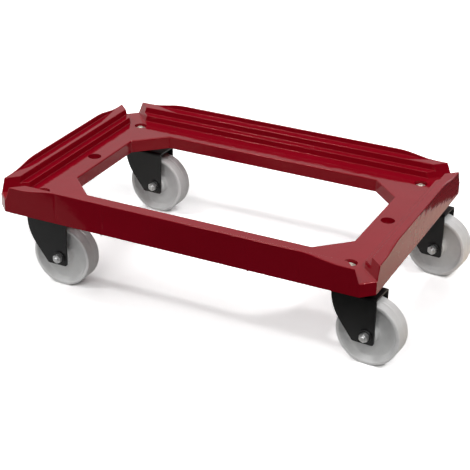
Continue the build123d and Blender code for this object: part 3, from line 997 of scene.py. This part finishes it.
@dataclass
class Studio:
    """Pale floor, soft light, and a camera that stands where the photograph was taken.

    Sizes are in metres and angles in degrees.
    """

    floor_half: float = 12.0
    paper: Colour = (0.5, 0.5, 0.5, 1.0)
    paper_mirrored: Colour = (0.84, 0.83, 0.80, 1.0)
    paper_seen: Colour = (1.77, 1.77, 1.77, 1.0)
    fill: float = 1.05
    fill_side: Point = (-1.0, 0.0, 0.0)
    fill_focus: float = 2.0
    keys: tuple[Key, ...] = (
        Key("right_spot", 0.15, 6.0, (0.70, -0.06, 1.0)),
        Key("left_spot", 0.11, 6.0, (-0.44, -0.50, 1.0)),
        Key("right_softbox", 0.18, 24.0, (0.6, -0.4, 1.0)),
        Key("front_softbox", 0.12, 30.0, (0.1, -1.0, 0.8)),
        Key("back_softbox", 0.08, 20.0, (0.05, 1.0, 0.36)),
        Key("left_softbox", 0.165, 40.0, (-0.6, 0.4, 1.0)),
    )
    cards: tuple[Card, ...] = (
        Card(
            "front_floor_card",
            0.05,
            on_floor(
                (-0.30, -0.44),
                (-0.46, -0.53),
                (-1.42, -2.50),
                (2.48, -2.50),
                (2.48, -0.12),
                (0.46, -0.12),
                (0.42, -0.28),
                (0.16, -0.28),
                (0.12, -0.20),
                (-0.08, -0.20),
                (-0.12, -0.36),
                (-0.30, -0.36),
            ),
        ),
        Card(
            "right_floor_card",
            0.8,
            on_floor(
                (0.32, -0.11),
                (1.60, -0.11),
                (1.60, 0.24),
                (0.428, 0.24),
                (0.376, 0.40),
                (0.32, 0.58),
            ),
            warmth=0.17,
        ),
        Card(
            "front_left_floor_card",
            0.45,
            on_floor(
                (-0.30, -0.36),
                (-2.50, -0.36),
                (-2.50, -2.50),
                (-1.42, -2.50),
                (-0.46, -0.53),
                (-0.30, -0.44),
            ),
        ),
        Card(
            "front_flag",
            0.03,
            ((-4.0, -3.0, 0.0), (-4.0, -3.0, 1.7), (3.0, -3.0, 1.7), (3.0, -3.0, 0.0)),
        ),
        Card(
            "right_flag",
            0.03,
            ((3.0, -3.0, 0.0), (3.0, -3.0, 1.7), (3.0, -0.6, 1.7), (3.0, -0.6, 0.0)),
        ),
        Card(
            "back_flag",
            0.03,
            ((0.95, 2.95, 0.7), (2.6, 2.95, 0.7), (2.6, 2.95, 2.6), (0.95, 2.95, 2.6)),
        ),
        Card(
            "left_floor_card",
            0.7,
            on_floor((-0.40, -0.35), (-0.12, -0.35), (-0.12, -0.18), (-0.40, -0.18)),
        ),
        Card(
            "side_floor_card",
            0.05,
            on_floor((0.428, 0.25), (1.58, 0.25), (1.58, 1.4), (0.057, 1.4)),
        ),
    )
    backdrop_distance: float = 3.0
    backdrop_grey: float = 0.70
    camera_place: Point = (0.80660, -1.76802, 1.02912)
    azimuth: float = 24.948
    elevation: float = 26.358
    roll: float = 1.489
    lens_mm: float = 103.692
    sensor_mm: float = 36.0
    sight: float = 100.0

    def build(self) -> None:
        """Sets up everything around the object."""
        bpy.context.scene.view_settings.view_transform = "Standard"
        self.lay_floor()
        self.set_world()
        for key in self.keys:
            self.hang_key(key)
        for card in self.cards:
            self.set_card(card)
        self.hang_backdrop()
        self.set_camera()

    def lay_floor(self) -> None:
        """Lays a pale floor that takes the shadow and is white where no shadow falls."""
        mesh = bmesh.new()
        bmesh.ops.create_grid(mesh, x_segments=1, y_segments=1, size=self.floor_half)
        paper = empty_material("matt_white_paper")
        tree = paper.node_tree
        mirrored = add_node(
            tree,
            "ShaderNodeMix",
            {MIX_FIRST: self.paper, MIX_SECOND: self.paper_mirrored},
            {"Factor": ray_switch(tree, (Rays.GLOSSY, Rays.TRANSMISSION))},
            data_type="RGBA",
        ).outputs[MIX_RESULT]
        seen = add_node(
            tree,
            "ShaderNodeMix",
            {MIX_SECOND: self.paper_seen},
            {"Factor": ray_switch(tree, (Rays.CAMERA,)), MIX_FIRST: mirrored},
            data_type="RGBA",
        ).outputs[MIX_RESULT]
        matt = add_node(tree, "ShaderNodeBsdfDiffuse", links={"Color": seen})
        add_node(tree, "ShaderNodeOutputMaterial", links={"Surface": matt.outputs["BSDF"]})
        add_stage("studio_floor", mesh, paper)

    def set_world(self) -> None:
        """Makes the surroundings white to look at, and a fill light from one side of the room."""
        world = bpy.data.worlds.new("white_surroundings")
        bpy.context.scene.world = world
        world.use_nodes = True
        tree = world.node_tree
        tree.nodes.clear()
        direction = add_node(tree, "ShaderNodeTexCoord").outputs["Generated"]
        towards = add_node(
            tree, "ShaderNodeVectorMath", {1: self.fill_side}, {0: direction}, operation="DOT_PRODUCT"
        ).outputs["Value"]
        facing = add_node(tree, "ShaderNodeMath", {1: 0.0}, {0: towards}, operation="MAXIMUM").outputs[0]
        focus = {1: self.fill_focus}
        share = add_node(tree, "ShaderNodeMath", focus, {0: facing}, operation="POWER").outputs[0]
        full = {1: self.fill}
        given = add_node(tree, "ShaderNodeMath", full, {0: share}, operation="MULTIPLY").outputs[0]
        shown = ray_switch(tree, (Rays.CAMERA, Rays.GLOSSY, Rays.TRANSMISSION))
        strength = add_node(
            tree, "ShaderNodeMapRange", {"To Max": 1.0}, {"Value": shown, "To Min": given}
        ).outputs["Result"]
        white = add_node(tree, "ShaderNodeBackground", {"Color": WHITE}, {"Strength": strength})
        add_node(tree, "ShaderNodeOutputWorld", links={"Surface": white.outputs["Background"]})

    def hang_key(self, key: Key) -> None:
        """Hangs one key light.

        Args:
            key: The light.
        """
        light = bpy.data.lights.new(key.name, "SUN")
        lean = Vector(key.lean)
        light.energy = key.share * math.pi * lean.length / lean.z
        light.angle = math.radians(key.spread)
        lamp = bpy.data.objects.new(key.name, light)
        lamp.rotation_euler = lean.to_track_quat("Z", "Y").to_euler()
        bpy.context.scene.collection.objects.link(lamp)
        LOG.info("%s: %.2f of full light", key.name, key.share)

    def set_card(self, card: Card) -> None:
        """Sets up a card out of the camera's sight, which shades or tints what the object sees there.

        Args:
            card: The card. Its back lets all light through.
        """
        mesh = bmesh.new()
        mesh.faces.new([mesh.verts.new(corner) for corner in card.corners])
        material = empty_material(card.name)
        tree = material.node_tree
        red, blue = card.grey * (1 + card.warmth), card.grey * (1 - card.warmth)
        matt = add_node(tree, "ShaderNodeBsdfDiffuse", {"Color": (red, card.grey, blue, 1.0)})
        clear = add_node(tree, "ShaderNodeBsdfTransparent")
        behind = add_node(tree, "ShaderNodeNewGeometry").outputs["Backfacing"]
        sides = {0: behind, 1: matt.outputs["BSDF"], 2: clear.outputs["BSDF"]}
        shown = add_node(tree, "ShaderNodeMixShader", links=sides)
        add_node(tree, "ShaderNodeOutputMaterial", links={"Surface": shown.outputs["Shader"]})
        add_stage(card.name, mesh, material).visible_camera = False

    def hang_backdrop(self) -> None:
        """Hangs a grey backdrop out of the camera's sight, which the deck reflects."""
        mesh = bmesh.new()
        bmesh.ops.create_grid(mesh, x_segments=1, y_segments=1, size=self.backdrop_distance)
        upright = Matrix.Rotation(math.pi / 2, 4, "X")
        behind = (0, self.backdrop_distance, self.backdrop_distance)
        bmesh.ops.transform(mesh, matrix=upright, verts=mesh.verts)
        bmesh.ops.translate(mesh, vec=behind, verts=mesh.verts)
        cloth = empty_material("grey_backdrop_cloth")
        glow = add_node(cloth.node_tree, "ShaderNodeEmission", {"Strength": self.backdrop_grey})
        add_node(cloth.node_tree, "ShaderNodeOutputMaterial", links={"Surface": glow.outputs["Emission"]})
        backdrop = add_stage("grey_backdrop", mesh, cloth)
        backdrop.visible_camera = False
        backdrop.visible_diffuse = False
        backdrop.visible_shadow = False

    def set_camera(self) -> None:
        """Stands the camera where the photograph was taken."""
        data = bpy.data.cameras.new("camera")
        data.sensor_width = self.sensor_mm
        data.lens = self.lens_mm
        data.clip_end = self.sight
        camera = bpy.data.objects.new("camera", data)
        turn, tilt = math.radians(self.azimuth), math.radians(self.elevation)
        level = Matrix.Rotation(turn, 4, "Z") @ Matrix.Rotation(math.pi / 2 - tilt, 4, "X")
        rolled = level @ Matrix.Rotation(math.radians(self.roll), 4, "Z")
        camera.matrix_world = Matrix.Translation(self.camera_place) @ rolled
        bpy.context.scene.collection.objects.link(camera)
        bpy.context.scene.camera = camera


def write_sizes() -> None:
    """Brings the view layer up to date."""
    bpy.context.view_layer.update()


def main() -> None:
    """Dresses the frame and the castors, and sets up the studio."""
    logging.basicConfig(level=logging.INFO, format="%(name)s: %(message)s")
    MouldedFrame().build()
    for corner in Corner:
        DeckFixing(corner).build()
        Castor(corner).build()
    Studio().build()
    write_sizes()


if __name__ == "__main__":
    main()
